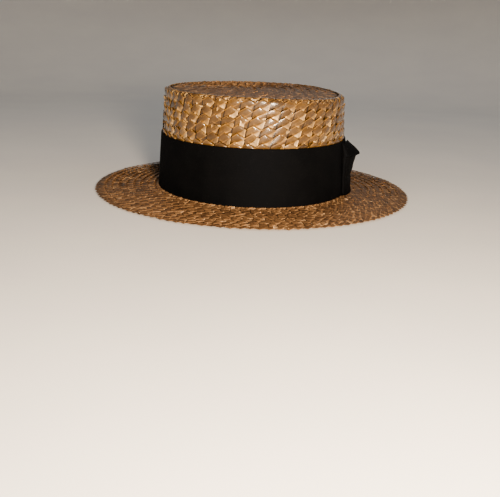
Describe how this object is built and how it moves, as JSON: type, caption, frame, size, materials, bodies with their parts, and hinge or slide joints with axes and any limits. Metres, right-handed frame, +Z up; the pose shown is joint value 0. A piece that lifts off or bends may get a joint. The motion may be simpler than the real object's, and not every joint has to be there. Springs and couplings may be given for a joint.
{
  "type": "straw boater hat",
  "caption": "Flat-topped, flat-brimmed straw hat of sewn braid, with a wide black ribbon band and a flat bow at the side; lies brim down.",
  "frame": {"origin": "under the middle of the crown, on the flat underside of the brim", "axes": "+Z up through the crown, -Y towards the hat's front, +X towards the wearer's left, where the bow is"},
  "size_m": [0.2872, 0.3154, 0.0931],
  "materials": {
    "crown_straw": "plaited flat straw, golden brown, varnished to a soft gloss",
    "tip_straw": "plaited flat straw, darker tan, satin",
    "brim_straw": "plaited flat straw, brown tan, satin",
    "ribbon": "black grosgrain ribbon, ribbed, low sheen"
  },
  "bodies": {
    "root": {"brim": "brim_straw", "crown_side": "crown_straw", "crown_tip": "tip_straw", "hat_band": "ribbon", "bow_front_loop": "ribbon", "bow_back_loop": "ribbon", "bow_knot": "ribbon"}
  },
  "joints": []
}
